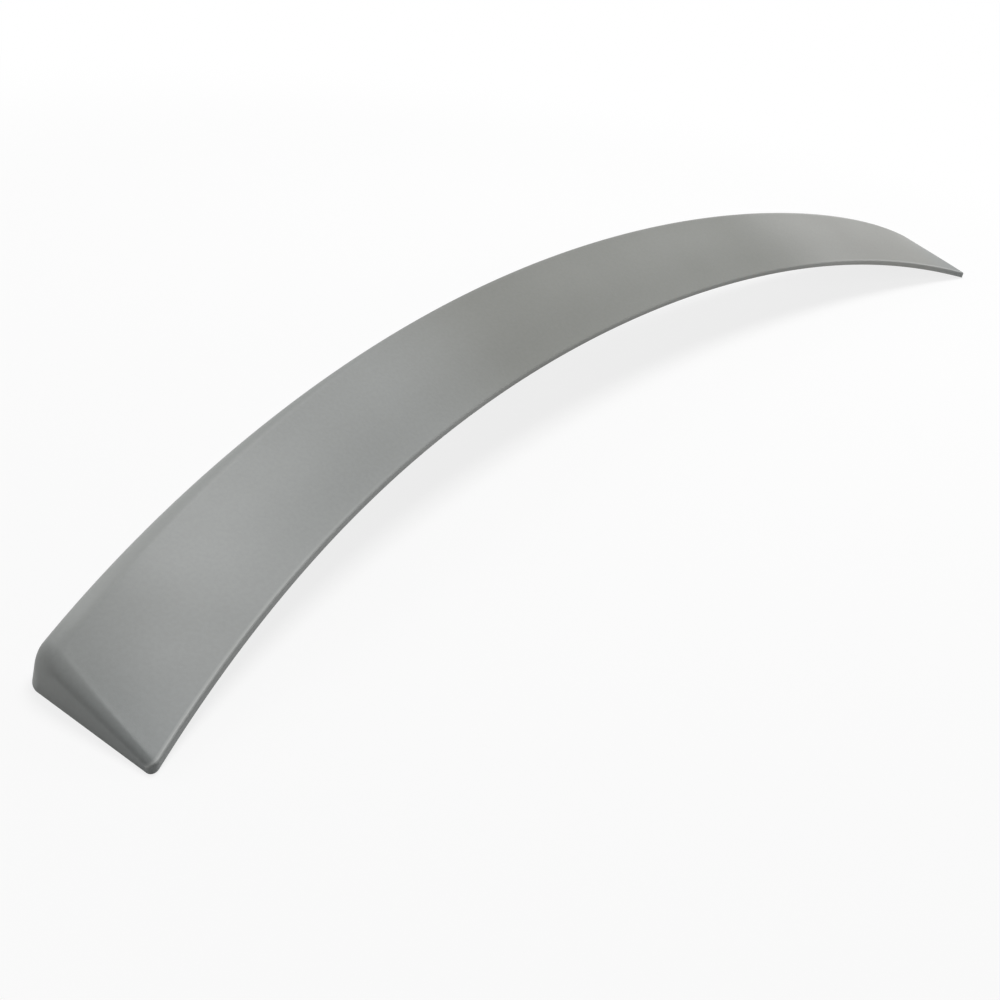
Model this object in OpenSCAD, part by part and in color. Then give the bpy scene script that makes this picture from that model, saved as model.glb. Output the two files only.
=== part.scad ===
// Roof spoiler: one moulded shell that bonds over the rear edge of a car roof and the top of its rear window.
// A wedge section is swept along an arched line and rolled over into closed ends, with ribs under its top face.
// X runs across the car and Y rearward. Z is up, square to the plane that the feet of both ends stand on.
// The origin is the middle of the front edge, on the bonding surface.

/* [Plan and crown] */
// Overall length across the car
span = 1152; // [800:2:1400]
// Distance that the middle of the front edge lies behind its ends
foot_sweep = 95.2; // [40:0.1:140]
// Height of the middle of the front edge above its ends
foot_rise = 56.9; // [20:0.1:90]
// Share of the sweep that is a parabola, the rest grows with the fourth power
sweep_share = 0.84; // [0.6:0.01:1.2]
// Share of the rise that is a parabola, the rest grows with the fourth power
rise_share = 0.71; // [0.4:0.01:1.2]

/* [Section in the middle] */
// Distance from the front edge back to the crest, before it is rounded
reach_mid = 71.5; // [55:0.1:90]
// Height of the crest above the bonding surface, before it is rounded
height_mid = 36; // [30:0.5:48]
// Distance that the rear foot lies behind the crest
lean_mid = 8; // [2:0.5:16]
// Height of the front face
nose_mid = 3.6; // [3:0.1:6]
// Bulge of the top face
bulge_mid = 1.5; // [0:0.1:3]

/* [Section at the ends] */
// Distance from the front edge back to the crest, before it is rounded
reach_end = 89.2; // [75:0.1:105]
// Height of the crest above the bonding surface, before it is rounded
height_end = 26.6; // [22:0.1:34]
// Distance that the rear foot lies behind the crest
lean_end = 5; // [2:0.5:14]
// Height of the front face
nose_end = 5.7; // [4:0.1:9]

/* [Edges] */
// Rounding between the front face and the top face
nose_round = 1.2; // [0.5:0.1:2]
// Rounding of the crest in the middle
crest_mid = 4; // [3.5:0.1:8]
// Rounding of the crest at the ends
crest_end = 15.4; // [8:0.1:20]
// Hollow of the rear face under the crest, in the middle
rear_hollow = 1.6; // [0:0.1:3]
// Roll of the top face into the end face, at the front corner
roll_front = 2.8; // [1:0.1:4]
// Roll of the top face into the end face, at the crest
roll_crest = 10.1; // [8:0.1:14]
// Rounding of the front corner, seen from above
tip_round = 5; // [2:0.1:8]
// Roll of the rear face into the end face
roll_rear = 10; // [4:0.5:13]

/* [Shell] */
// Thickness of the moulded wall
wall = 3; // [2:0.1:3.4]
// Width of the bonding land along the front edge
front_land = 12; // [9:0.5:18]
// Width of the bonding land along the rear foot
rear_land = 12; // [8:0.5:18]
// Thickness of the flange that carries the rear land
flange = 3; // [2:0.1:4]

/* [Ribs] */
// Number of cross ribs under the top face
rib_count = 11; // [3:1:19]
// Thickness of a rib at its free edge
rib_edge = 2; // [1.5:0.1:4]
// Thickness that the moulding draft adds to a rib at its root
rib_draft = 0.6; // [0.2:0.1:1.5]
// Height of a rib's free edge above the bonding surface
rib_lift = 4.6; // [4.2:0.1:5.6]

/* [Hidden] */
half = span / 2;
rib_pitch = span / (rib_count + 1);
rib_root = rib_edge + rib_draft;
// Smallest roll that a rolled corner keeps on the inner skin
sharpest = 0.4;
// The crest keeps its height until close to the ends, where it drops with this power of the way out
drop_power = 10;
// The end's roll grows from the front corner to the crest with this power of the way back
roll_power = 1.4;
// Steps of the mesh along each stretch of the section and of the span
nose_steps = 2;
top_steps = 6;
crest_steps = 7;
rear_steps = 4;
inner_steps = 4;
end_steps = 7;
bay_steps = 5;

function blend(a, b, t) = a + (b - a) * t;

// 0 in the middle of the span and 1 at both ends, where u runs from -1 to 1 along the span
function outward(u, share) = share * pow(u, 2) + (1 - share) * pow(u, 4);

// Sizes of the section at u
function reach(u) = blend(reach_mid, reach_end, outward(u, 0));
function height(u) = blend(height_mid, height_end, pow(abs(u), drop_power));
function depth(u) = reach(u) + blend(lean_mid, lean_end, outward(u, 1));
function nose(u) = blend(nose_mid, nose_end, outward(u, 1));
function bulge(u) = blend(bulge_mid, 0, outward(u, 1));
function dent(u) = blend(rear_hollow, 0, outward(u, 1));
function crest_round(u) = blend(crest_mid, crest_end, outward(u, 1));

// Place of the front edge at u
function foot_y(u) = -foot_sweep * outward(u, sweep_share);
function foot_z(u) = -foot_rise * outward(u, rise_share);

// Heading of the line from a to b, and the unit vectors along a heading and to the inside of it
function heading(a, b) = atan2(b[1] - a[1], b[0] - a[0]);
function along(h) = [cos(h), sin(h)];
function inside(h) = [sin(h), -cos(h)];

// Points between a and b, without them, on a line that is hollowed towards the inside
function stretch(a, b, steps, hollow) =
    [for (k = [1:steps - 1])
        let (t = k / steps)
        blend(a, b, t) + 16 * hollow * pow(t * (1 - t), 2) * inside(heading(a, b))];

// Where a corner moves to when the lines on both sides of it move the distance w to the inside
function inset(corner, before, after, w) =
    corner + w * inside(before) - w * tan((before - after) / 2) * along(before);

// Arc of radius r that rounds a corner between the headings before and after it
function rounding(corner, before, after, r, steps) =
    let (centre = inset(corner, before, after, r))
    [for (k = [0:steps]) centre - r * inside(blend(before, after, k / steps))];

// Outside of the section, from the front edge over the crest to the rear foot
function outer_outline(u) =
    let (
        nose_corner = [0, nose(u)],
        crest = [reach(u), height(u)],
        rear_foot = [depth(u), 0],
        climb = heading(nose_corner, crest),
        fall = heading(crest, rear_foot),
        nose_arc = rounding(nose_corner, 90, climb, nose_round, nose_steps),
        crest_arc = rounding(crest, climb, fall, crest_round(u), crest_steps)
    )
    concat(
        [[0, 0]],
        nose_arc,
        stretch(nose_arc[nose_steps], crest_arc[0], top_steps, -bulge(u)),
        crest_arc,
        stretch(crest_arc[crest_steps], rear_foot, rear_steps, dent(u)),
        [rear_foot]
    );

// Inside of the section, from the front land over the crest to the rear flange
function inner_outline(u) =
    let (
        crest = [reach(u), height(u)],
        climb = heading([0, nose(u)], crest),
        fall = heading(crest, [depth(u), 0]),
        inner_crest = inset(crest, climb, fall, wall),
        front_top = [front_land, inner_crest[1] - (inner_crest[0] - front_land) * tan(climb)],
        crest_arc = rounding(inner_crest, climb, fall, crest_round(u) - wall, inner_steps),
        flange_root = [inner_crest[0] + (flange - inner_crest[1]) / tan(fall), flange],
        flange_edge = depth(u) - rear_land
    )
    concat(
        [[front_land, 0], front_top],
        stretch(front_top, crest_arc[0], top_steps, -bulge(u)),
        crest_arc,
        stretch(crest_arc[inner_steps], flange_root, rear_steps, dent(u)),
        [flange_root, [flange_edge, flange], [flange_edge, 0]]
    );

// The inside where a rib fills it: every point above the flange moves to the rib's free edge
function rib_outline(u) =
    let (
        open = inner_outline(u),
        root = len(open) - 3,
        wall_run = open[root - 1] - open[root],
        rear_end = open[root][0] + (rib_lift - flange) * wall_run[0] / wall_run[1]
    )
    [for (k = [0:len(open) - 1])
        k == 0 || k >= root ? open[k] : [blend(front_land, rear_end, (k - 1) / (root - 2)), rib_lift]];

// Drop of a rounded end of radius r, at the distance d from the end
function roll(r, d) = d >= r ? 0 : r - sqrt(r * r - pow(r - d, 2));

// A point of the section at x, rolled in and down near the end and put in its place.
// skin is the thickness over it, and base the height up to which it isn't rolled down.
function placed(p, x, skin, base) =
    let (
        u = x / half,
        d = half - skin - abs(x),
        s = max(0, min(1, p[0] / reach(u))),
        top = blend(nose(u), height(u), s),
        down = roll(max(sharpest, blend(roll_front, roll_crest, pow(s, roll_power)) - skin), d),
        back = roll(max(sharpest, tip_round - skin), d) * (1 - s),
        fore = roll(max(sharpest, roll_rear - skin), d) * s,
        z = p[1] <= base ? p[1] : base + (p[1] - base) * (1 - down / (top - base))
    )
    [x, foot_y(u) + p[0] + back - fore, foot_z(u) + z];

function outer_ring(x) = [for (p = outer_outline(x / half)) placed(p, x, 0, 0)];
function inner_ring(x, ribbed) =
    [for (p = ribbed ? rib_outline(x / half) : inner_outline(x / half)) placed(p, x, wall, flange)];

// Stations along the span: place on the outer skin, place on the inner skin, and whether a rib is there.
// They are closer together where the ends roll over.
function rib_x(k) = (k + 1) * rib_pitch - half;
function end_stations(side) =
    [for (k = [0:end_steps - 1])
        let (
            step = side < 0 ? k : end_steps - 1 - k,
            share = 1 - cos(90 * step / end_steps)
        )
        [side * (half - roll_crest * share), side * (half - wall - (roll_crest - wall) * share), false]];
function bay_stations(k) =
    let (
        from = k == 0 ? roll_crest - half : rib_x(k - 1) + rib_root / 2,
        to = k == rib_count ? half - roll_crest : rib_x(k) - rib_root / 2
    )
    [for (n = [0:bay_steps]) let (x = blend(from, to, n / bay_steps)) [x, x, false]];
function rib_stations(k) =
    [for (side = [-1, 1]) let (x = rib_x(k) + side * rib_edge / 2) [x, x, true]];

stations = [
    each end_stations(-1),
    for (k = [0:rib_count]) each concat(bay_stations(k), k < rib_count ? rib_stations(k) : []),
    each end_stations(1)
];
station_count = len(stations);
outer_count = len(outer_outline(0));
inner_count = len(inner_outline(0));

// Index of point j of station i on each skin
function outer_index(i, j) = i * outer_count + j;
function inner_index(i, j) = station_count * outer_count + i * inner_count + j;

function quad(a, b, c, d) = [[a, b, c], [a, c, d]];
function fan(ring, tip) =
    let (n = len(ring))
    [for (k = [1:n - 2]) [ring[tip], ring[(tip + k) % n], ring[(tip + k + 1) % n]]];
function turned(faces) = [for (f = faces) [f[0], f[2], f[1]]];

// The two skins
function outer_faces() =
    [for (i = [0:station_count - 2]) for (j = [0:outer_count - 2])
        each quad(outer_index(i, j), outer_index(i, j + 1), outer_index(i + 1, j + 1), outer_index(i + 1, j))];
function inner_faces() =
    [for (i = [0:station_count - 2]) for (j = [0:inner_count - 2])
        each quad(inner_index(i, j), inner_index(i + 1, j), inner_index(i + 1, j + 1), inner_index(i, j + 1))];

// Bonding lands between the two skins, along the front and along the rear
function front_faces() =
    [for (i = [0:station_count - 2])
        each quad(outer_index(i, 0), outer_index(i + 1, 0), inner_index(i + 1, 0), inner_index(i, 0))];
function rear_faces() =
    let (a = outer_count - 1, b = inner_count - 1)
    [for (i = [0:station_count - 2])
        each quad(outer_index(i, a), inner_index(i, b), inner_index(i + 1, b), outer_index(i + 1, a))];

// The end wall at station i: its foot, its outer face and its inner face
function end_faces(i) =
    let (a = outer_count - 1, b = inner_count - 1)
    concat(
        quad(outer_index(i, 0), inner_index(i, 0), inner_index(i, b), outer_index(i, a)),
        fan([for (j = [a:-1:0]) outer_index(i, j)], a),
        fan([for (j = [0:b]) inner_index(i, j)], b - 1)
    );

module spoiler_shell() {
    color("#9a9e9d")
    polyhedron(
        points = concat(
            [for (s = stations) each outer_ring(s[0])],
            [for (s = stations) each inner_ring(s[1], s[2])]
        ),
        faces = concat(
            outer_faces(),
            inner_faces(),
            front_faces(),
            rear_faces(),
            end_faces(0),
            turned(end_faces(station_count - 1))
        ),
        convexity = 6
    );
}

spoiler_shell();
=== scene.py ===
import math

import bpy
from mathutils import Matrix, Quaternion, Vector


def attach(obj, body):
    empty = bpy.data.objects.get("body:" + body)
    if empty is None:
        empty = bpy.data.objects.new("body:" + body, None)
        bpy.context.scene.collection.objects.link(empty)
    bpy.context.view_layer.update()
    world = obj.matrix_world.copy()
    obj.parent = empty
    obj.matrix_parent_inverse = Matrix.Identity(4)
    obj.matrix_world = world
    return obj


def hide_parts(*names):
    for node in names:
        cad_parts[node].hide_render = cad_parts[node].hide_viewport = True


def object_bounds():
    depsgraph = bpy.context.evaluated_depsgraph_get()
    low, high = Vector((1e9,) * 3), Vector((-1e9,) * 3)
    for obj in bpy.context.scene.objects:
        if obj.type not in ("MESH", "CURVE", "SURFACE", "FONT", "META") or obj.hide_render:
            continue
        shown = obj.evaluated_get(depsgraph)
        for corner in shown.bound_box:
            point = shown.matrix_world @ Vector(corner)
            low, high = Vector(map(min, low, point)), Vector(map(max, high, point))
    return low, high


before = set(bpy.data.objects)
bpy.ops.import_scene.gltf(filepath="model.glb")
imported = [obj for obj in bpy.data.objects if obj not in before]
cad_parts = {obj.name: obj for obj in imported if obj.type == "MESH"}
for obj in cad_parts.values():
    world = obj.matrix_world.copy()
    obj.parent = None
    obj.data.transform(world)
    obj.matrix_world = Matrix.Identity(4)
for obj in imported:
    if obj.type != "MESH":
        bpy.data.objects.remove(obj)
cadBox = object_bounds()
body = "root"
mm = 0.001
print("frame loaded")


# A number inside a node tree, so that a formula reads as it does on paper
class Num:
    def __init__(self, tree, socket):
        self.tree = tree
        self.socket = socket

    def by(self, operation, *others):
        node = self.tree.nodes.new("ShaderNodeMath")
        node.operation = operation
        feed(self.tree, node.inputs, (self, *others))
        return Num(self.tree, node.outputs[0])

    def __add__(self, other):
        return self.by("ADD", other)

    def __sub__(self, other):
        return self.by("SUBTRACT", other)

    def __mul__(self, other):
        return self.by("MULTIPLY", other)

    def __truediv__(self, other):
        return self.by("DIVIDE", other)

    def __neg__(self):
        return self * -1

    def __rsub__(self, other):
        return -self + other

    __radd__ = __add__
    __rmul__ = __mul__


def feed(tree, sockets, values):
    for socket, value in zip(sockets, values):
        if isinstance(value, Num):
            tree.links.new(value.socket, socket)
        elif isinstance(value, bpy.types.NodeSocket):
            tree.links.new(value, socket)
        else:
            socket.default_value = value


# A node with its settings and inputs, by the inputs' names
def put(tree, kind, settings=None, **inputs):
    node = tree.nodes.new(kind)
    for name, value in (settings or {}).items():
        setattr(node, name, value)
    for name, value in inputs.items():
        feed(tree, [node.inputs[name.replace("_", " ")]], [value])
    return node


def attribute(tree, name):
    node = put(tree, "GeometryNodeInputNamedAttribute", {"data_type": "FLOAT"}, Name=name)
    return Num(tree, node.outputs["Attribute"])


def constant(tree, value):
    node = tree.nodes.new("ShaderNodeValue")
    node.outputs[0].default_value = value
    return Num(tree, node.outputs[0])


def mix(a, b, t):
    return a + (b - a) * t


# Section of the shell. A point of it is a pair: how far behind the front edge, and how high.
def plus(a, b):
    return a[0] + b[0], a[1] + b[1]


def times(pair, k):
    return pair[0] * k, pair[1] * k


def inward(heading):
    return heading.by("SINE"), -heading.by("COSINE")


def onward(heading):
    return heading.by("COSINE"), heading.by("SINE")


# A corner, after the lines on both sides of it have moved inward by depth
def inset(corner, before, after, depth):
    slide = ((before - after) / 2).by("TANGENT") * depth
    return plus(corner, plus(times(inward(before), depth), times(onward(before), -slide)))


# A point on the arc that rounds a corner, from turn 0 at its start to turn 1 at its end
def rounded(corner, before, after, radius, turn):
    centre = inset(corner, before, after, radius)
    return plus(centre, times(inward(mix(before, after, turn)), -radius))


# How far a rounded end has dropped, at a distance from the end
def rollDrop(radius, distance):
    short = (radius - distance).by("MAXIMUM", 0)
    return radius - (radius * radius - short * short).by("SQRT")


shellSizes = {  # millimetres, and plain numbers for the shares, the powers and the count
    "Span": 1152, "Foot sweep": 95.2, "Foot rise": 56.9, "Sweep share": 0.84, "Rise share": 0.71,
    "Reach middle": 71.5, "Height middle": 36, "Lean middle": 8, "Nose middle": 3.6, "Bulge": 1.5,
    "Reach end": 89.2, "Height end": 26.6, "Lean end": 5, "Nose end": 5.7, "Drop power": 10,
    "Nose round": 1.2, "Crest round middle": 4, "Crest round end": 15.4, "Rear hollow": 1.6,
    "Front roll": 2.8, "Crest roll": 10.1, "Roll power": 1.4, "Tip round": 5, "Rear roll": 10,
    "Sharpest": 0.4, "Wall": 3, "Front land": 12, "Rear land": 12, "Flange": 3,
    "Rib count": 11, "Rib edge": 2, "Rib draft": 0.6, "Rib lift": 4.6,
}
plainNumbers = ("Sweep share", "Rise share", "Drop power", "Roll power", "Rib count")
shellSteps = {  # how finely the flat pattern is divided
    "foot": 3, "nose": 6, "top": 30, "crest": 21, "rear": 12,
    "innerTop": 12, "innerCrest": 10, "innerRear": 6,
    "span": 144, "roll": 20, "cap": 8,
}
maskSlopes = {"edge": 50, "crest": 6, "rear": 3}  # how steeply the masks of the edges rise and fade
sharpAngle = 30  # degrees between two faces, from which their edge is drawn sharp
# What the pattern says of each of its points, and the tree turns into a place
rules = ("atFoot", "atNose", "atCrest", "atRear", "atFlange", "noseTurn", "crestTurn", "topBulge",
         "rearHollow", "skin", "inner", "lip", "drop", "rib")
# Inputs of the paint's painted highlights, and the attributes that stay on the mesh to feed them
masks = {"Edge": "frontEdgeHighlight", "Face": "frontFaceHighlight", "Crest": "crestHighlight"}


# The tree sets the ribs in a row and bends the flat pattern to the spoiler's shape
def spoilerTree():
    tree = bpy.data.node_groups.new("spoilerLoft", "GeometryNodeTree")
    tree.is_modifier = True
    panel = tree.interface
    panel.new_socket("Geometry", in_out="INPUT", socket_type="NodeSocketGeometry")
    for name in shellSizes:
        kind = "NodeSocketInt" if name == "Rib count" else "NodeSocketFloat"
        panel.new_socket(name, in_out="INPUT", socket_type=kind)
    for name in ("Outside", "Underside"):
        panel.new_socket(name, in_out="INPUT", socket_type="NodeSocketMaterial")
    panel.new_socket("Geometry", in_out="OUTPUT", socket_type="NodeSocketGeometry")
    entry = tree.nodes.new("NodeGroupInput")
    size = {name: Num(tree, entry.outputs[name]) for name in shellSizes}
    rule = {name: attribute(tree, name) for name in rules}

    # the one rib of the pattern goes to every place of the row
    split = put(tree, "GeometryNodeSeparateGeometry", {"domain": "POINT"},
                Geometry=entry.outputs["Geometry"], Selection=rule["rib"])
    across = put(tree, "ShaderNodeSeparateXYZ", Vector=put(tree, "GeometryNodeInputPosition").outputs[0])
    thickness = size["Rib edge"] + size["Rib draft"] * (1 - rule["drop"])
    ribPoint = put(tree, "ShaderNodeCombineXYZ", X=Num(tree, across.outputs["X"]) * thickness)
    oneRib = put(tree, "GeometryNodeSetPosition", Geometry=split.outputs["Selection"],
                 Position=ribPoint.outputs[0])
    pitch = size["Span"] / (size["Rib count"] + 1)
    first = put(tree, "ShaderNodeCombineXYZ", X=pitch - size["Span"] / 2)
    step = put(tree, "ShaderNodeCombineXYZ", X=pitch)
    row = put(tree, "GeometryNodeMeshLine", {"mode": "OFFSET"}, Count=size["Rib count"],
              Start_Location=first.outputs[0], Offset=step.outputs[0])
    ribs = put(tree, "GeometryNodeInstanceOnPoints", Points=row.outputs[0], Instance=oneRib.outputs[0])
    ribMesh = put(tree, "GeometryNodeRealizeInstances", Geometry=ribs.outputs[0])
    joined = put(tree, "GeometryNodeJoinGeometry", Geometry=ribMesh.outputs[0])
    tree.links.new(split.outputs["Inverted"], joined.inputs[0])

    # sizes of the section, which change along the span
    place = put(tree, "ShaderNodeSeparateXYZ", Vector=put(tree, "GeometryNodeInputPosition").outputs[0])
    x = Num(tree, place.outputs["X"])
    half = size["Span"] / 2
    u = x / half
    square = u * u
    fourth = square * square

    def outward(share):
        return mix(fourth, square, share)

    reach = mix(size["Reach middle"], size["Reach end"], fourth)
    height = mix(size["Height middle"], size["Height end"], u.by("ABSOLUTE").by("POWER", size["Drop power"]))
    lean = mix(size["Lean middle"], size["Lean end"], square)
    nose = mix(size["Nose middle"], size["Nose end"], square)
    crestRound = mix(size["Crest round middle"], size["Crest round end"], square)
    climb = (height - nose).by("ARCTAN2", reach)
    fall = (-height).by("ARCTAN2", lean)
    upright = constant(tree, math.pi / 2)

    # the places that the section's lines run between
    skin = size["Wall"] * rule["skin"]
    inner = rule["inner"]
    corner = inset((reach, height), climb, fall, skin)
    crest = rounded(corner, climb, fall, crestRound - skin, rule["crestTurn"])
    outerNose = rounded((0, nose), upright, climb, size["Nose round"], rule["noseTurn"])
    landBack = size["Front land"] - skin * rule["rib"]
    innerNose = landBack, corner[1] - (corner[0] - landBack) * climb.by("TANGENT")
    footing = mix(size["Flange"], size["Rib lift"], rule["rib"])
    innerRear = corner[0] + (footing - corner[1]) / fall.by("TANGENT"), footing
    noseAt = mix(outerNose[0], innerNose[0], inner), mix(outerNose[1], innerNose[1], inner)
    rearAt = mix(reach + lean, innerRear[0], inner), footing * inner
    flangeAt = reach + lean - size["Rear land"], size["Flange"] * rule["lip"]
    point = size["Front land"] * inner * rule["atFoot"], 0
    for pair, share in ((noseAt, "atNose"), (crest, "atCrest"), (rearAt, "atRear"), (flangeAt, "atFlange")):
        point = plus(point, times(pair, rule[share]))
    point = plus(point, times(inward(climb), -size["Bulge"] * (1 - square) * rule["topBulge"]))
    y, z = plus(point, times(inward(fall), size["Rear hollow"] * (1 - square) * rule["rearHollow"]))

    # both ends roll over
    distance = half - skin - x.by("ABSOLUTE")
    along = (y / reach).by("MAXIMUM", 0).by("MINIMUM", 1)
    over = mix(nose, height, along)
    base = size["Flange"] * inner

    def rollOf(radius):
        return rollDrop((radius - skin).by("MAXIMUM", size["Sharpest"]), distance)

    drop = rollOf(mix(size["Front roll"], size["Crest roll"], along.by("POWER", size["Roll power"])))
    rolled = base + (z - base) * (1 - drop / (over - base))
    z = mix(rolled, z, z.by("LESS_THAN", base))
    z = mix(z, size["Rib lift"] * rule["rib"], rule["drop"])
    y = y + rollOf(size["Tip round"]) * (1 - along) - rollOf(size["Rear roll"]) * along

    # and the whole is swept back and crowned
    y = y - size["Foot sweep"] * outward(size["Sweep share"])
    z = z - size["Foot rise"] * outward(size["Rise share"])
    shaped = put(tree, "ShaderNodeCombineXYZ", X=x, Y=y, Z=z)
    bent = put(tree, "GeometryNodeSetPosition", Geometry=joined.outputs[0], Position=shaped.outputs[0])
    allInside = 0.99  # the mean over a face's points, of which only those of the inside are 1
    hidden = inner.by("GREATER_THAN", allInside)
    coated = put(tree, "GeometryNodeSetMaterial", Geometry=bent.outputs[0],
                 Material=entry.outputs["Outside"])
    whole = put(tree, "GeometryNodeRealizeInstances", Geometry=coated.outputs[0])
    misted = put(tree, "GeometryNodeSetMaterial", Geometry=whole.outputs[0], Selection=hidden,
                 Material=entry.outputs["Underside"])
    leave = tree.nodes.new("NodeGroupOutput")
    tree.links.new(misted.outputs[0], leave.inputs[0])
    return tree


# Shares of the way between two places, without the places: evenly spaced, or closer together near both
def even(steps):
    return [k / steps for k in range(1, steps)]


def eased(steps):
    return [(1 - math.cos(math.pi * t)) / 2 for t in even(steps)]


def arc(place, turn, steps):
    return [{place: 1, turn: k / steps} for k in range(steps + 1)]


# The hollow or bulge is 1 halfway, and runs out smoothly at both places
def hollowed(start, end, hollow, shares, **turns):
    return [{start: 1 - t, end: t, hollow: 16 * (t * (1 - t)) ** 2, **turns} for t in shares]


# Outside of the section as rules for the tree, from the front foot over the crest to the rear foot
def outerOutline():
    steps = shellSteps
    line = [{"atFoot": 1}] + [{"atFoot": 1 - t, "atNose": t} for t in even(steps["foot"])]
    line += arc("atNose", "noseTurn", steps["nose"])
    line += hollowed("atNose", "atCrest", "topBulge", eased(steps["top"]), noseTurn=1)
    line += arc("atCrest", "crestTurn", steps["crest"])
    line += hollowed("atCrest", "atRear", "rearHollow", eased(steps["rear"]), crestTurn=1)
    for rule in line:
        turned, crested = rule.get("noseTurn", 0), rule.get("crestTurn", 0)
        # masks of the painted highlights: the front edge, the narrow front face and the crest
        edge = turned * max(0, 1 - rule.get("atCrest", 0) * maskSlopes["edge"])
        face = (1 - turned) * rule.get("atNose", 0)
        crest = min(1, crested * maskSlopes["crest"]) * max(0, 1 - rule.get("atRear", 0) * maskSlopes["rear"])
        rule.update(zip(masks.values(), (edge, face, crest)))
    return line + [{"atRear": 1}]


# Inside of the section from the front land to the foot, under the given share of the wall
def innerOutline(skin):
    steps = shellSteps
    line = [{"atNose": 1}] + hollowed("atNose", "atCrest", "topBulge", even(steps["innerTop"]))
    line += arc("atCrest", "crestTurn", steps["innerCrest"])
    line += hollowed("atCrest", "atRear", "rearHollow", even(steps["innerRear"]), crestTurn=1)
    return [{**rule, "inner": 1, "skin": skin} for rule in line + [{"atRear": 1}]]


# Stations along the span: the end that they roll over, if any, and the share of the way over it
# or along the rest
def stations():
    rolls = [1 - math.cos(math.pi / 2 * k / shellSteps["roll"]) for k in range(shellSteps["roll"])]
    rest = [(0, k / shellSteps["span"]) for k in range(shellSteps["span"] + 1)]
    return [(-1, share) for share in rolls] + rest + [(1, share) for share in reversed(rolls)]


def stationX(station, skin):
    side, share = station
    half, roll = shellSizes["Span"] / 2, shellSizes["Crest roll"]
    if side:
        return side * (half - skin - (roll - skin) * share) * mm
    return (half - roll) * (2 * share - 1) * mm


# The flat pattern: points with their rules, and the faces between them
class Pattern:
    def __init__(self):
        self.points, self.rules, self.faces = [], [], []

    def point(self, x, rule):
        self.points.append((x, 0, 0))
        self.rules.append(rule)
        return len(self.points) - 1

    def mesh(self, name):
        mesh = bpy.data.meshes.new(name)
        mesh.from_pydata(self.points, [], self.faces)
        for key in (*rules, *masks.values()):
            values = mesh.attributes.new(key, "FLOAT", "POINT").data
            values.foreach_set("value", [float(rule.get(key, 0)) for rule in self.rules])
        return mesh


# Rings of the section, and strips of faces between each ring and the next
def drawSkins(pattern):
    inside = {"inner": 1, "skin": 1}
    outer = outerOutline()
    inner = [{"atFoot": 1, **inside}] + innerOutline(1)
    inner += [{"atFlange": 1, "lip": 1, **inside}, {"atFlange": 1, **inside}]
    rows = stations()
    wall = shellSizes["Wall"]
    outerRings = [[pattern.point(stationX(row, 0), rule) for rule in outer] for row in rows]
    innerRings = [[pattern.point(stationX(row, wall), rule) for rule in inner] for row in rows]
    rings = [a + b[::-1] for a, b in zip(outerRings, innerRings)]
    for ring, following in zip(rings, rings[1:]):
        for j, a in enumerate(ring):
            n = (j + 1) % len(ring)
            pattern.faces.append((a, following[j], following[n], ring[n]))
    for side, k in ((-1, 0), (1, -1)):
        drawEnd(pattern, side, outer, outerRings[k], innerRings[k])


# End wall: columns hang from the outline down to the foot outside, and the inside is one flat face
def drawEnd(pattern, side, outer, outerRing, innerRing):
    x = side * shellSizes["Span"] / 2 * mm
    noseEnd = shellSteps["foot"] + shellSteps["nose"]
    hanging = [k / shellSteps["cap"] for k in range(1, shellSteps["cap"] + 1)]
    unmarked = dict.fromkeys(masks.values(), 0)
    columns = [[outerRing[j]] + [pattern.point(x, {**outer[j], **unmarked, "drop": t}) for t in hanging]
               for j in range(noseEnd, len(outer) - 1)]
    faces = [outerRing[:noseEnd] + columns[0], columns[-1][:1] + outerRing[-1:] + columns[-1][:0:-1]]
    for here, there in zip(columns, columns[1:]):
        faces += [(here[k], there[k], there[k + 1], here[k + 1]) for k in range(len(hanging))]
    foot = outerRing[:1] + [column[-1] for column in columns] + [outerRing[-1], innerRing[-1], innerRing[0]]
    faces += [innerRing[::-1], foot]
    pattern.faces += [face if side < 0 else face[::-1] for face in faces]


# One rib in the middle: its upper edge is buried in the wall, and its free edge is straight
def drawRib(pattern):
    halfWall = 0.5  # how deep in the wall the rib starts
    outline = [{**rule, "rib": 1} for rule in innerOutline(halfWall)]
    buried, free = {}, {}
    for side in (-0.5, 0.5):
        free[side] = [pattern.point(side, {**rule, "drop": 1}) for rule in outline]
        buried[side] = [pattern.point(side, rule) for rule in outline[:-1]] + free[side][-1:]
    (a, b), (c, d) = buried.values(), free.values()
    last = len(outline) - 1
    for j in range(last):
        n = j + 1
        strips = [(a[j], b[j], b[n], a[n]), (c[j], c[n], d[n], d[j]),
                  (a[j], a[n], c[n], c[j]), (b[n], b[j], d[j], d[n])]
        pattern.faces += strips if n < last else strips[:2] + [(a[j], a[n], c[j]), (b[n], b[j], d[j])]
    pattern.faces.append((c[0], d[0], b[0], a[0]))


# A group for materials, with inputs of the given names and first values, and its outputs
def shaderGroup(name, inputs, outputs):
    tree = bpy.data.node_groups.new(name, "ShaderNodeTree")
    tree.interface.new_socket("Vector", in_out="INPUT", socket_type="NodeSocketVector")
    for key, value in inputs.items():
        kind = "NodeSocketColor" if isinstance(value, tuple) else "NodeSocketFloat"
        tree.interface.new_socket(key, in_out="INPUT", socket_type=kind).default_value = value
    for key, kind in outputs.items():
        tree.interface.new_socket(key, in_out="OUTPUT", socket_type=kind)
    return tree, tree.nodes.new("NodeGroupInput").outputs, tree.nodes.new("NodeGroupOutput").inputs


def mixColor(tree, a, b, share, blend="MIX"):
    node = put(tree, "ShaderNodeMix", {"data_type": "RGBA", "blend_type": blend})
    feed(tree, [node.inputs[0], node.inputs[6], node.inputs[7]], [share, a, b])
    return node.outputs[2]


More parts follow.
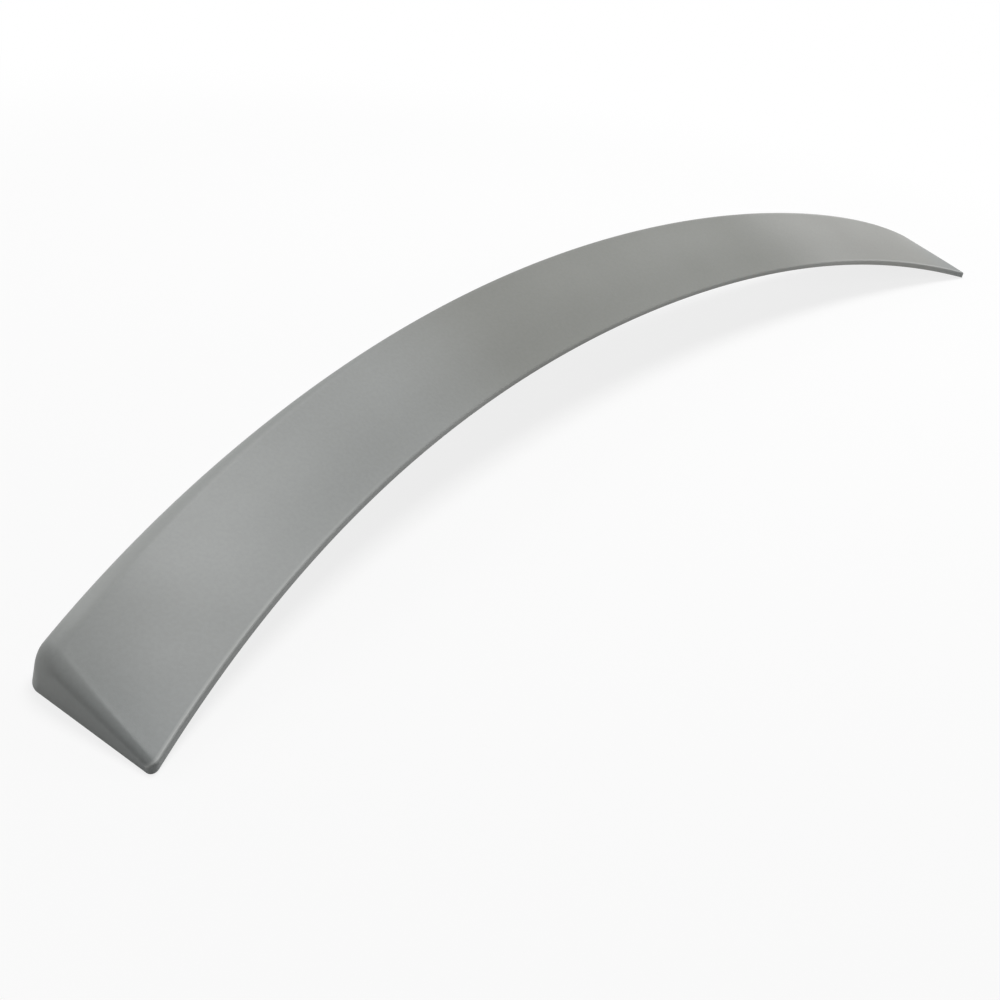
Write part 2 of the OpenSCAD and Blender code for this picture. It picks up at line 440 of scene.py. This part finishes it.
# Share of the way from low to high, eased at both
def ramp(tree, value, low, high):
    node = put(tree, "ShaderNodeMapRange", {"interpolation_type": "SMOOTHSTEP"},
               Value=value, From_Min=low, From_Max=high)
    return Num(tree, node.outputs[0])


# The two coats. "tone" and "grain" are the inputs of the shader groups below, in metres and shares.
# The tone is multiplied by "Thin" where a cloud or speck of the spray is thin.
finishes = {
    "outside": {
        "tone": {
            "Color": (0.286, 0.298, 0.292, 1), "Far color": (0.28, 0.282, 0.267, 1),
            "Thin": (0.91, 0.905, 0.9, 1), "Cloud scale": 7, "Cloud": 0.4, "Speck": 0.5,
            # painted shade over the middle and at the front corners; painted highlights on the edges and the
            # front face
            "Pass color": (0.209, 0.215, 0.199, 1), "Pass start": -0.22, "Pass end": 0.285, "Pass edge": 0.08,
            "Corner color": (0.23, 0.244, 0.242, 1), "Corner reach": 0.085,
            "Edge color": (0.488, 0.5, 0.487, 1), "Edge share": 0.7, "Face share": 0.22, "Crest share": 0.42,
        },
        "grain": {"Wave scale": 260, "Grain scale": 1700, "Grain share": 0.35},
        "bump": 0.35, "depth": 0.0002, "rough": (0.44, 0.5), "ior": 1.47,
    },
    "underside": {
        "tone": {
            "Color": (0.2, 0.206, 0.203, 1), "Far color": (0.2, 0.206, 0.2, 1),
            "Thin": (0.25, 0.25, 0.255, 1), "Cloud scale": 26, "Cloud": 0.55, "Speck": 0.45,
            # the same painted shade, weaker, and no painted highlights
            "Pass color": (0.19, 0.195, 0.188, 1), "Pass start": -0.2, "Pass end": 0.25, "Pass edge": 0.1,
            "Corner color": (0.17, 0.175, 0.172, 1), "Corner reach": 0.05,
            "Edge color": (0.3, 0.3, 0.3, 1), "Edge share": 0, "Face share": 0, "Crest share": 0,
        },
        "grain": {"Wave scale": 120, "Grain scale": 900, "Grain share": 0.6},
        "bump": 0.6, "depth": 0.0004, "rough": (0.6, 0.72), "ior": 1.47,
    },
}
frontCorner = {"Corner x": cadBox[1][0], "Corner y": cadBox[0][1]}
sprayReach = {
    "drift": (-0.45, 0.45), "paintedHighlight": (0.25, 0.57), "end": (0.545, 0.572),  # metres from the middle
    "clouds": (0.32, 0.68), "specks": (0.35, 0.65), "speckScale": 420,  # levels of the noises, and a scale
}


# Soft clouds and fine specks where the coat is thin, a tone that drifts from one end to the other, painted
# shade over the middle and at the front corners, and painted highlights: lighter on the front edge and the
# crest towards the ends, and on the narrow front face in the middle
def sprayTone():
    inputs = {**finishes["outside"]["tone"], **frontCorner, **dict.fromkeys(masks, 0)}
    outputs = {"Color": "NodeSocketColor", "Clouds": "NodeSocketFloat"}
    tree, given, out = shaderGroup("sprayTone", inputs, outputs)
    number = {key: Num(tree, given[key]) for key in given.keys() if given[key].type == "VALUE"}
    where = put(tree, "ShaderNodeSeparateXYZ", Vector=given["Vector"])
    x, y = Num(tree, where.outputs["X"]), Num(tree, where.outputs["Y"])
    outwards = x.by("ABSOLUTE")

    # the coat's own tone, then painted shade over the middle of the span and at the front corners
    tone = mixColor(tree, given["Color"], given["Far color"], ramp(tree, x, *sprayReach["drift"]))
    start, end, soft = number["Pass start"], number["Pass end"], number["Pass edge"]
    # painted shade: a darker band of the tone over the middle of the span
    over = ramp(tree, x, start - soft, start + soft) * (1 - ramp(tree, x, end - soft, end + soft))
    tone = mixColor(tree, tone, given["Pass color"], over)
    # painted shade that darkens the tone near the front corners
    aside, behind = outwards - number["Corner x"], y - number["Corner y"]
    away = (aside * aside + behind * behind).by("SQRT")
    tone = mixColor(tree, tone, given["Corner color"], 1 - ramp(tree, away, 0, number["Corner reach"]))

    # clouds and specks
    clouds = put(tree, "ShaderNodeTexNoise", Vector=given["Vector"], Scale=given["Cloud scale"], Detail=3)
    specks = put(tree, "ShaderNodeTexNoise", Vector=given["Vector"], Scale=sprayReach["speckScale"], Detail=4)
    low, high = sprayReach["specks"]
    speck = put(tree, "ShaderNodeMapRange", Value=specks.outputs[0], From_Min=low, From_Max=high)
    cloud = ramp(tree, clouds.outputs[0], *sprayReach["clouds"])
    thinned = cloud * number["Cloud"] + Num(tree, speck.outputs[0]) * number["Speck"]
    tone = mixColor(tree, tone, given["Thin"], thinned, "MULTIPLY")

    # painted highlights on the edges and the front face; the crest's highlight stops before the end faces
    edge, face, crest = (number[key] * number[key + " share"] for key in masks)
    crest = crest * (1 - ramp(tree, outwards, *sprayReach["end"]))
    paintedHighlight = mix(face, edge + crest, ramp(tree, outwards, *sprayReach["paintedHighlight"]))
    tone = mixColor(tree, tone, given["Edge color"], paintedHighlight)
    feed(tree, [out["Color"], out["Clouds"]], [tone, cloud])
    return tree


# Height of the sprayed surface: long low waves, with a fine grain on them
def sprayGrain():
    tree, given, out = shaderGroup("sprayGrain", finishes["outside"]["grain"], {"Height": "NodeSocketFloat"})
    waves = put(tree, "ShaderNodeTexNoise", Vector=given["Vector"], Scale=given["Wave scale"], Detail=2)
    grain = put(tree, "ShaderNodeTexNoise", Vector=given["Vector"], Scale=given["Grain scale"], Detail=3)
    height = mix(Num(tree, waves.outputs[0]), Num(tree, grain.outputs[0]), Num(tree, given["Grain share"]))
    tree.links.new(height.socket, out["Height"])
    return tree


def primer(name, tone, grain, look):
    material = bpy.data.materials.new(name)
    material.use_nodes = True
    tree = material.node_tree
    shader = tree.nodes["Principled BSDF"]
    shader.inputs["IOR"].default_value = look["ior"]
    where = put(tree, "ShaderNodeTexCoord").outputs["Object"]
    marks = {key: put(tree, "ShaderNodeAttribute", {"attribute_name": mask}).outputs["Fac"]
             for key, mask in masks.items()}
    toned = put(tree, "ShaderNodeGroup", {"node_tree": tone}, Vector=where, **look["tone"],
                **frontCorner, **marks)
    grained = put(tree, "ShaderNodeGroup", {"node_tree": grain}, Vector=where, **look["grain"])
    bump = put(tree, "ShaderNodeBump", Height=grained.outputs["Height"], Strength=look["bump"],
               Distance=look["depth"])
    rough = mix(*look["rough"], Num(tree, toned.outputs["Clouds"]))
    feed(tree, [shader.inputs["Base Color"], shader.inputs["Roughness"], shader.inputs["Normal"]],
         [toned.outputs["Color"], rough, bump.outputs[0]])
    return material


# Puts the tree on an object, fills in its inputs and keeps the result as a plain mesh
def baked(mesh, tree, values):
    worker = bpy.data.objects.new("worker", mesh)
    bpy.context.scene.collection.objects.link(worker)
    modifier = worker.modifiers.new("loft", "NODES")
    modifier.node_group = tree
    for item in tree.interface.items_tree:
        if item.in_out == "INPUT" and item.name in values:
            modifier[item.identifier] = values[item.name]
    solved = worker.evaluated_get(bpy.context.evaluated_depsgraph_get())
    result = bpy.data.meshes.new_from_object(solved)
    worker.modifiers.remove(modifier)
    bpy.data.objects.remove(worker)
    return result


def makeShell():
    pattern = Pattern()
    drawSkins(pattern)
    drawRib(pattern)
    tone, grain = sprayTone(), sprayGrain()
    values = {name: size if name in plainNumbers else size * mm for name, size in shellSizes.items()}
    values["Outside"] = primer("primerCoat", tone, grain, finishes["outside"])
    values["Underside"] = primer("primerMist", tone, grain, finishes["underside"])
    mesh = baked(pattern.mesh("shellPattern"), spoilerTree(), values)
    for key in rules:
        mesh.attributes.remove(mesh.attributes[key])
    mesh.shade_smooth()
    mesh.set_sharp_from_angle(angle=math.radians(sharpAngle))
    mesh.name = "spoilerShell"
    shell = bpy.data.objects.new("spoilerShell", mesh)
    bpy.context.scene.collection.objects.link(shell)
    return shell


shell = makeShell()
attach(shell, body)
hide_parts("spoiler_shell")
print("shell made:", len(shell.data.polygons), "faces")

studio = {
    "floorSize": 16, "floorColor": (0.95, 0.95, 0.95, 1), "bounceColor": (0.5, 0.5, 0.49, 1),
    "shadowShare": 0.19, "shadowReach": (0.55, 1.1), "worldLevel": 0.12,
    "camera": (-0.87636, -0.43865, 0.36546), "heading": 31.666, "dip": 29.596, "roll": 9.691,
    "lens": 46.308, "sensor": 36,
}
white = (1, 1, 1, 1)
lamps = {  # place, aim, width, depth and watts
    "overhead": ((0.45, 0.15, 2.2), (0.1, 0, 0), 1.1, 1.1, 39),
    "right": ((1.5, 0.1, 0.9), (0.4, 0, 0), 0.9, 0.9, 1.6),
    "left": ((-1.6, 0.2, 0.5), (-0.5, 0, 0), 0.9, 0.9, 1.5),
    "rear": ((-0.7, 1.7, 1.1), (-0.3, 0, 0), 1, 1, 5),
    "front": ((1.6, -1.6, 0.45), (0.2, -0.05, 0), 0.9, 0.9, 12),
}


def lookAlong(thing, place, direction, roll=0):
    thing.location = place
    turn = Vector(direction).to_track_quat("-Z", "Y") @ Quaternion((0, 0, 1), roll)
    thing.rotation_euler = turn.to_euler()
    bpy.context.scene.collection.objects.link(thing)


def seenRays(tree):
    path = put(tree, "ShaderNodeLightPath").outputs
    seen = Num(tree, path["Is Camera Ray"]) + path["Is Glossy Ray"] + path["Is Transmission Ray"]
    return seen.by("MINIMUM", 1)


# White where it is seen, with a share of the real light and shadow that fades away from the shell
def makeFloor():
    z = cadBox[0][2]
    side = studio["floorSize"] / 2
    mesh = bpy.data.meshes.new("floor")
    corners = [(-side, -side, z), (side, -side, z), (side, side, z), (-side, side, z)]
    mesh.from_pydata(corners, [], [(0, 1, 2, 3)])
    material = bpy.data.materials.new("paleFloor")
    material.use_nodes = True
    tree = material.node_tree
    tree.nodes.remove(tree.nodes["Principled BSDF"])
    seen = seenRays(tree)
    lit = put(tree, "ShaderNodeBsdfDiffuse",
              Color=mixColor(tree, studio["bounceColor"], studio["floorColor"], seen))
    backdrop = put(tree, "ShaderNodeEmission", Color=white, Strength=1)
    spot = put(tree, "ShaderNodeTexCoord").outputs["Object"]
    where = put(tree, "ShaderNodeSeparateXYZ", Vector=spot).outputs
    far = (Num(tree, where["X"]) * where["X"] + Num(tree, where["Y"]) * where["Y"]).by("SQRT")
    near, end = studio["shadowReach"]
    fade = put(tree, "ShaderNodeMapRange", {"interpolation_type": "SMOOTHERSTEP"}, Value=far,
               From_Min=near, From_Max=end, To_Min=studio["shadowShare"], To_Max=0)
    blend = put(tree, "ShaderNodeMixShader", Fac=seen * (1 - Num(tree, fade.outputs[0])))
    tree.links.new(lit.outputs[0], blend.inputs[1])
    tree.links.new(backdrop.outputs[0], blend.inputs[2])
    tree.links.new(blend.outputs[0], tree.nodes["Material Output"].inputs["Surface"])
    mesh.materials.append(material)
    floor = bpy.data.objects.new("floor", mesh)
    bpy.context.scene.collection.objects.link(floor)


def makeWorld():
    world = bpy.data.worlds.new("studio")
    world.use_nodes = True
    tree = world.node_tree
    background = tree.nodes["Background"].inputs
    level = mix(studio["worldLevel"], 1, seenRays(tree))  # white where it is seen, dim as a light
    feed(tree, [background["Color"], background["Strength"]], [white, level])
    bpy.context.scene.world = world


makeFloor()
makeWorld()
for name, (place, aim, width, depth, watts) in lamps.items():
    lamp = bpy.data.lights.new(name, "AREA")
    lamp.shape, lamp.size, lamp.size_y, lamp.energy = "RECTANGLE", width, depth, watts
    lookAlong(bpy.data.objects.new(name, lamp), place, Vector(aim) - Vector(place))
print("floor, backdrop and lamps set")

camera = bpy.data.cameras.new("camera")
camera.lens, camera.sensor_width = studio["lens"], studio["sensor"]
heading, dip = math.radians(studio["heading"]), math.radians(studio["dip"])
eye = bpy.data.objects.new("camera", camera)
lookAlong(eye, studio["camera"],
          (math.cos(dip) * math.cos(heading), math.cos(dip) * math.sin(heading), -math.sin(dip)),
          math.radians(studio["roll"]))
bpy.context.scene.camera = eye
bpy.context.scene.view_settings.view_transform = "Standard"
print("camera set")

bpy.context.view_layer.update()
